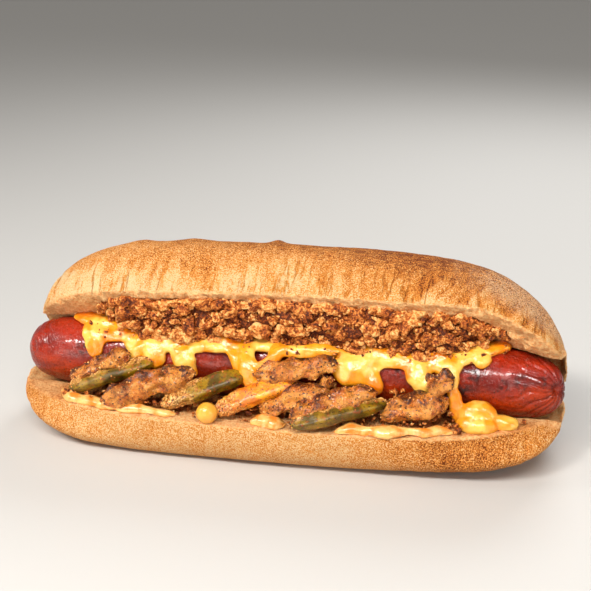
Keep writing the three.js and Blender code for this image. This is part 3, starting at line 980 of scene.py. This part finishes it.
# %% Runs of cheese
CHEESE_THICKNESS = 3.2
CHEESE_VOXEL = 0.5
# spots along X and round the sausage where the pale cheese lies, and where the orange one shows
CREAM_SPOTS = (
    (-67, 34), (-72, 49), (-54, 62), (-46, 54), (-39, 58), (-30, 58), (-22, 42),
    (-32, 73), (-5, 39), (-6, 51), (9, 40), (15, 28), (25, 60), (32, 54),
    (39, 54), (52, 80), (51, 52), (67, 42), (62, 59), (72, 31), (72, 112),
)
AMBER_SPOTS = (
    (-75, 8), (-64, 42), (-67, 66), (-56, 44), (-47, 40), (-36, 41), (-16, 31), (26, 28),
    (33, 19), (48, 60), (58, 42), (56, 26), (78, 2), (36, 86), (66, 96),
)
# the puddle that has run down on to the bread: middle and size of each lump
PUDDLE = (
    ((72, -20.4, 23.4), (13, 8.6, 9)),
    ((72, -23.6, 20.8), (14, 7.4, 6.4)),
    ((80.5, -20.2, 21.2), (12, 6.8, 4.8)),
)
# from and to: distance along X, angle from the top of the sausage to its front, height; width
CHEESE_RUNS = [
    ((-62, 12, 0), (-22, 20, 0), 14),
    ((-32, 22, 0), (30, 22, 0), 14),
    ((16, 24, 0), (68, 20, 0), 14),
    ((-79.5, 1, 0.6), (-50, 8, 0.4), 10.5),
    ((-70, 12, 0), (-66.5, 78, 0.6), 8.6),
    ((-67, 40, 0), (-46, 20, 0), 9),
    ((-58, 22, 0), (-50, 68, 0), 7),
    ((-49, 58, 0.5), (-55.5, 78, 1), 4.4),
    ((-57, 48, 0.5), (-20, 42, 0), 8),
    ((-46, 52, 0.5), (-42, 85, 1), 8),
    ((-37, 50, 0.5), (-30, 85, 1), 8),
    ((-30, 76, 0), (-28.6, 98, 0.6), 3.2),
    ((-32, 40, 0.5), (-12, 40, 0.5), 8),
    ((-18, 42, 0.5), (-8.5, 98, 3), 4.4),
    ((-12, 32, 0.5), (-5.5, 104, 7), 6.6),
    ((1.5, 34, 1.5), (-3.2, 98, 6.8), 3.6),
    ((-6, 74, 4), (4, 52, 5.5), 4),
    ((0, 53, 5.5), (24, 46, 4.5), 5),
    ((18, 44, 1), (40, 50, 0.5), 12),
    ((21, 68, 1.5), (37, 72, 1), 9),
    ((34.5, 64, 1), (36.8, 100, 1.6), 6),
    ((34, 46, 0.5), (56, 48, 0.5), 7),
    ((47, 50, 0.5), (49.5, 80, 0.8), 3.6),
    ((51, 40, 0.5), (53, 93, 2.2), 7.4),
    ((54, 48, 0.5), (66, 42, 0.5), 9),
    ((58, 50, 0.5), (81.5, -4, 0.5), 7.4),
    ((70, 30, 0.3), (75, 44, 0), 5.6),
    ((62, 46, 0.5), (63.2, 90, 1.4), 4),
    ((63, 80, 1.2), (65.8, 124, 3.4), 5.6),
    ((64, 122, 4), (76, 114, 5), 7),
]


def outward_at(degrees):
    angle = math.radians(degrees)
    return Vector((0, -math.sin(angle), math.cos(angle)))


def cheese_run(start, end, wide):
    start, end = Vector(start), Vector(end)

    def place_at(share):
        x, angle, lift = start.lerp(end, share)
        middle = Vector((x, SAUSAGE_MIDDLE.y, SAUSAGE_MIDDLE.z))
        return middle + outward_at(angle) * (SAUSAGE_RADIUS + 0.6 + lift)

    shape = ball(16, 24)
    for vert in shape.verts:
        share = (vert.co.x + 1) / 2
        side, rise = section(vert.co, 0.9)
        swell = fullness(vert.co.x, 3)
        along = (place_at(share + 0.01) - place_at(share - 0.01)).normalized()
        outward = outward_at(mix(start.y, end.y, share))
        across = outward.cross(along).normalized()
        thick = rise * swell * CHEESE_THICKNESS / 2
        vert.co = place_at(share) + across * side * swell * wide / 2 + outward * thick
    return shape


def dollop(middle, size):
    shape = ball(24, 18)
    bmesh.ops.scale(shape, vec=[s / 2 for s in size], verts=shape.verts)
    bmesh.ops.translate(shape, vec=middle, verts=shape.verts)
    return shape


cheese = bmesh.new()
for start, end, wide in CHEESE_RUNS:
    add_shape(cheese, cheese_run(start, end, wide))
for middle, size in PUDDLE:
    add_shape(cheese, dollop(middle, size))
cheese = remeshed(cheese, CHEESE_VOXEL)
smoothed(cheese, 6)
pushed(cheese, lambda p, n: 1.0 * rough(p, 8, 41) + 0.5 * rough(p, 3, 42) + 0.3)
smoothed(cheese, 2)

# %% Pale and orange cheese stored on the points
cheese_top = []  # places on the cheese near the heap, for loose crumbs
cream_spots = [(x, angle, 4.2) for x, angle in CREAM_SPOTS]
amber_spots = [(x, angle, 4) for x, angle in AMBER_SPOTS]
cream, amber = (cheese.verts.layers.float.new(name) for name in ("cream", "amber"))
for vert in cheese.verts:
    wobble = 0.5 * rough(vert.co, 4, 44) + 0.3 * rough(vert.co, 1.8, 45)
    vert[cream] = smooth_step(spot_share(vert.co, cream_spots) + wobble, 0.3, 0.75)
    vert[amber] = smooth_step(spot_share(vert.co, amber_spots) + wobble, 0.35, 0.9)
    puddle = smooth_step(-vert.co.z, -27, -23) * smooth_step(vert.co.x, 62, 68)
    vert[cream] = max(vert[cream], puddle * smooth_step(wobble, -0.25, 0.15))
    if vert.normal.y < -0.4 and vert.co.z > 39.5 + 3 * rough(vert.co, 9, 47):
        cheese_top.append(vert.co.copy())
print("cheese points:", len(cheese.verts))

# %% Cheese material
melted, tree, shader = new_material(
    "melted_cheese",
    0.26,
    Coat_Weight=0.45,
    Coat_Roughness=0.12,
    Subsurface_Weight=0.08,
    Subsurface_Radius=(0.003, 0.0015, 0.0004),
)
tone = blended(tree, colour(230, 132, 12), colour(236, 154, 30), patch(tree, 5, 0.35, 0.65))
tone = blended(tree, tone, colour(232, 122, 8), stored(tree, "amber"))
tone = blended(tree, tone, colour(238, 184, 78), stored(tree, "cream"))
tone = blended(tree, tone, colour(206, 98, 12), times(tree, patch(tree, 2.5, 0.6, 0.74), 0.5))
tree.links.new(tone, shader.inputs["Base Color"])
bumped(tree, shader, patch(tree, 2.4, 0.2, 0.8, detail=3), 0.35, 0.6, 0.6)
finished("cheese_melt", cheese, melted, "cheese", "cheese")

# %% A drop of cheese at the front of the bread
drop = dollop((-20.8, -33, 21.4), (7.6, 7.4, 7.6))
pushed(drop, lambda p, n: 0.15 * rough(p, 4, 43))
drop_cream = drop.verts.layers.float.new("cream")
for vert in drop.verts:
    vert[drop_cream] = 0.5 + 0.4 * rough(vert.co, 3, 46)
finished("cheese_drop_round", drop, melted, "cheese", "cheese_drop")

# %% [markdown]
# ## Fried onion crumbs
# The heap is made of brittle, grainy crumbs of many sizes. Their colour follows their relief:
# painted light makes the raised parts tan and painted shade makes the hollows dark. Each crumb
# is a small icosphere, knocked out of shape by noise. They are scattered over a core by a
# seeded rule and joined into one mesh. More lie loose along the lower half and on the cheese.

# %% The heap
HEAP_LEFT, HEAP_RIGHT = -67, 80
HEAP_REACH, HEAP_RISE = 6.0, 10.5
# for big, middling and fine crumbs: how many, smallest and largest radius, fineness of the mesh
HEAP_CRUMBS = ((150, 1.7, 3.3, 3), (420, 0.9, 1.9, 3), (300, 0.35, 0.8, 1))
GOLDEN_STEP = 0.618  # successive crumbs lie this share of the way round the heap apart


def heap_middle(x):
    """The heap climbs and draws back at its ends, where the cheese lies bare."""
    end = smooth_step(x, 58, 72) + smooth_step(-x, 50, 64)
    return Vector((x, -9.6 + 2 * end, 49 - 3.2 * (x / 70) ** 2 + 4.5 * end))


def heap_width(x):
    """The heap thins out at both ends."""
    at_right = smooth_step(-x, -HEAP_RIGHT - 8, -HEAP_RIGHT + 22)
    return smooth_step(x, HEAP_LEFT - 6, HEAP_LEFT + 12) * at_right


def heap_core():
    shape = ball(24, 60)
    half = (HEAP_RIGHT - HEAP_LEFT) / 2
    for vert in shape.verts:
        side, rise = section(vert.co)
        middle = heap_middle(HEAP_LEFT + (vert.co.x + 1) * half)
        swell = fullness(vert.co.x, 6) * heap_width(middle.x)
        vert.co = middle + Vector((0, side * swell * (HEAP_REACH - 1), rise * swell * (HEAP_RISE - 1)))
    return shape


def under_roll(point, gap):
    """Keeps a point of the heap under the cut face of the upper half."""
    closed = shut(point)
    ceiling = upper_cut(closed.x, closed.y) - gap
    if closed.z > ceiling:
        closed.z = ceiling
        return swung(closed)
    return point


SQUEEZES = ((0.9, 1.5), (0.7, 1.1), (0.6, 1.0))  # narrowest and widest a crumb is each way
FULL_TURN = 6.28


def crumb(middle, size, faces, draw):
    """One crumb, an icosphere that noise has knocked out of shape; relief tells its hollows, for painted
    shade there and painted light on its raised parts.
    """
    shape = bmesh.new()
    bmesh.ops.create_icosphere(shape, subdivisions=faces, radius=1)
    relief = shape.verts.layers.float.new("relief")
    squeeze = Vector([mix(low, high, draw.random()) for low, high in SQUEEZES])
    turn = Matrix.Rotation(draw.uniform(0, FULL_TURN), 3, "X")
    turn = turn @ Matrix.Rotation(draw.uniform(0, FULL_TURN), 3, "Z")
    seed = draw.uniform(0, 50)
    for vert in shape.verts:
        craggy = 0.5 * rough(vert.co, 0.9, seed) + 0.2 * rough(vert.co, 0.4, seed)
        craggy -= 0.3 * abs(rough(vert.co, 0.6, seed))
        craggy -= 0.3 * abs(rough(vert.co, 0.32, seed))
        if faces > 2:
            craggy += 0.12 * rough(vert.co, 0.16, seed)
        vert[relief] = craggy
        vert.co = turn @ (vert.co * squeeze * (1 + craggy)) * size + middle
    return shape


# %% Crumbs over the core
draw = random.Random(4711)
heap = heap_core()
pushed(heap, lambda p, n: 1.6 * rough(p, 3.5, 51) + 0.8 * rough(p, 1.6, 52))
heap.verts.layers.float.new("relief")
tone_and_shade_layer = heap.verts.layers.float.new("tone")
# the core between the crumbs is painted dark, as shade; the crumbs get their own random tones
for vert in heap.verts:
    vert[tone_and_shade_layer] = 0.1
for count, low, high, faces in HEAP_CRUMBS:
    for i in range(count):
        x = mix(HEAP_LEFT, HEAP_RIGHT, (i + draw.random()) / count)
        angle = math.radians(mix(-60, 80, (GOLDEN_STEP * i + 0.3 * draw.random()) % 1))
        sunk = 1 if faces == 1 or low > 1.5 else draw.uniform(0.75, 1)
        width = heap_width(x)
        reach, rise = HEAP_REACH * width * sunk, HEAP_RISE * width * sunk
        middle = heap_middle(x) + Vector((0, -reach * math.cos(angle), rise * math.sin(angle)))
        size = mix(low, high, draw.random() ** 1.5) * (0.6 + 0.4 * width)
        piece = crumb(under_roll(middle, 1.0), size, faces, draw)
        add_toned(heap, tone_and_shade_layer, piece, draw.uniform(0.4, 0.9))
for vert in heap.verts:
    vert.co = under_roll(vert.co, 0.1)
print("heap faces:", len(heap.faces))

# %% Crumb material
fried, tree, shader = new_material("fried_onion", 0.5, Specular_IOR_Level=0.3)
grainy = patch(tree, 0.8, 0.3, 0.7, detail=3)
# the colour follows each crumb's relief: painted shade in its hollows and painted light on its raised
# parts, over its own random tone
shade_and_tone_level = plus(tree, stored(tree, "tone"), times(tree, stored(tree, "relief"), 1.1))
shade_and_tone_level = plus(tree, shade_and_tone_level, times(tree, minus(tree, grainy, 0.5), 0.7))
tone = ramp(
    tree,
    shade_and_tone_level,
    [
        (0.0, colour(78, 30, 8)),
        (0.25, colour(138, 62, 14)),
        (0.5, colour(190, 102, 36)),
        (0.75, colour(226, 148, 70)),
        (1.0, colour(242, 190, 120)),
    ],
)
tree.links.new(tone, shader.inputs["Base Color"])
bumped(tree, shader, patch(tree, 0.5, 0.2, 0.8, detail=3), 0.3, 0.9)
finished("crumbs_heap", heap, fried, "onion_crumbs", "crumbs")

# %% Loose crumbs and brown bits
# ranges along X, along Y and of height, how many, and the smallest and largest radius
SCATTERS = (
    ((-78, 66), (-27.5, -19), (18.6, 21.5), 330, (0.4, 1.3)),
    ((-70, 64), (-20.5, -17.5), (21, 30), 120, (0.6, 1.6)),
    ((60, 88), (-24, -15), (18.6, 19.4), 50, (0.3, 0.9)),
    ((-40, 60), (-32.5, -27), (18.5, 19), 70, (0.25, 0.6)),
)
CHEESE_CRUMBS = 90
bits = bmesh.new()
bits.verts.layers.float.new("relief")
bit_tone = bits.verts.layers.float.new("tone")
for *ranges, count, (small, large) in SCATTERS:
    for _ in range(count):
        spot = Vector([draw.uniform(*limits) for limits in ranges])
        end, reach = ("left", LOWER_LEFT) if spot.x < 0 else ("right", ROLL_RIGHT)
        edge = ROLL_WIDTH / 2 * fullness(spot.x / reach, LOWER_ENDS[end][0])
        spot.y = max(spot.y, 2.5 - edge)
        spot.z += lower_cut(spot.x, spot.y) - CUT_HEIGHT
        bit = crumb(spot, mix(small, large, draw.random() ** 2), 2, draw)
        add_toned(bits, bit_tone, bit, draw.uniform(0.25, 0.85))
clear_of_sausage(bits, 0.1)
for _ in range(CHEESE_CRUMBS):
    bit = crumb(draw.choice(cheese_top), mix(0.25, 0.9, draw.random() ** 2), 2, draw)
    add_toned(bits, bit_tone, bit, draw.uniform(0.2, 0.8))
finished("loose_bits", bits, fried, "onion_crumbs")

# %% [markdown]
# ## Sauce on the bread
# A thin creamy sauce lies in dabs along the front edge of the lower half. Each dab is a low
# ribbon with a flat underside.

# %% Places and material of the dabs
SAUCE_HEIGHT = 2.8
SAUCE_DABS = {
    "sauce_left": ((-80, -20), (-66, -26.5), (-33, -31), 5.6),
    "sauce_middle": ((-6, -31.5), (0, -31.5), (7, -31), 5.6),
    "sauce_right": ((24, -31.5), (44, -30.4), (65, -26), 4.8),
}
creamy, tree, shader = new_material(
    "creamy_sauce",
    0.24,
    Coat_Weight=0.3,
    Coat_Roughness=0.12,
    Subsurface_Weight=0.2,
    Subsurface_Radius=(0.003, 0.002, 0.001),
)
tone = blended(tree, colour(216, 126, 40), colour(236, 180, 104), patch(tree, 4, 0.35, 0.6))
tree.links.new(tone, shader.inputs["Base Color"])
bumped(tree, shader, patch(tree, 2, 0.2, 0.8), 0.15, 0.3)

# %% The dabs themselves
for name, (left, middle, right, wide) in SAUCE_DABS.items():
    dab = ball(24, 48)
    for vert in dab.verts:
        share = (vert.co.x + 1) / 2
        side, rise = section(vert.co)
        swell = fullness(vert.co.x, 4)
        ends = Vector(left) * (1 - share) + Vector(right) * share
        pull = Vector(middle) - (Vector(left) + Vector(right)) / 2
        spot = ends + pull * 4 * share * (1 - share)
        uneven = 1 + 0.9 * noise.noise(Vector((spot.x / 9, 2.6, 0)))
        height = max(0.0, rise) * swell * SAUCE_HEIGHT * (0.6 + 0.4 * uneven)
        shift = 1.6 * noise.noise(Vector((spot.x / 7, 8.1, 0)))
        vert.co = (spot.x, spot.y + shift + side * swell * uneven * wide / 2, CUT_HEIGHT + 0.2 + height)
    pushed(dab, lambda p, n: 0.8 * rough(p, 5, 61) + 0.4 * rough(p, 2.2, 62))
    finished(name + "_dab", dab, creamy, "sauce", name)
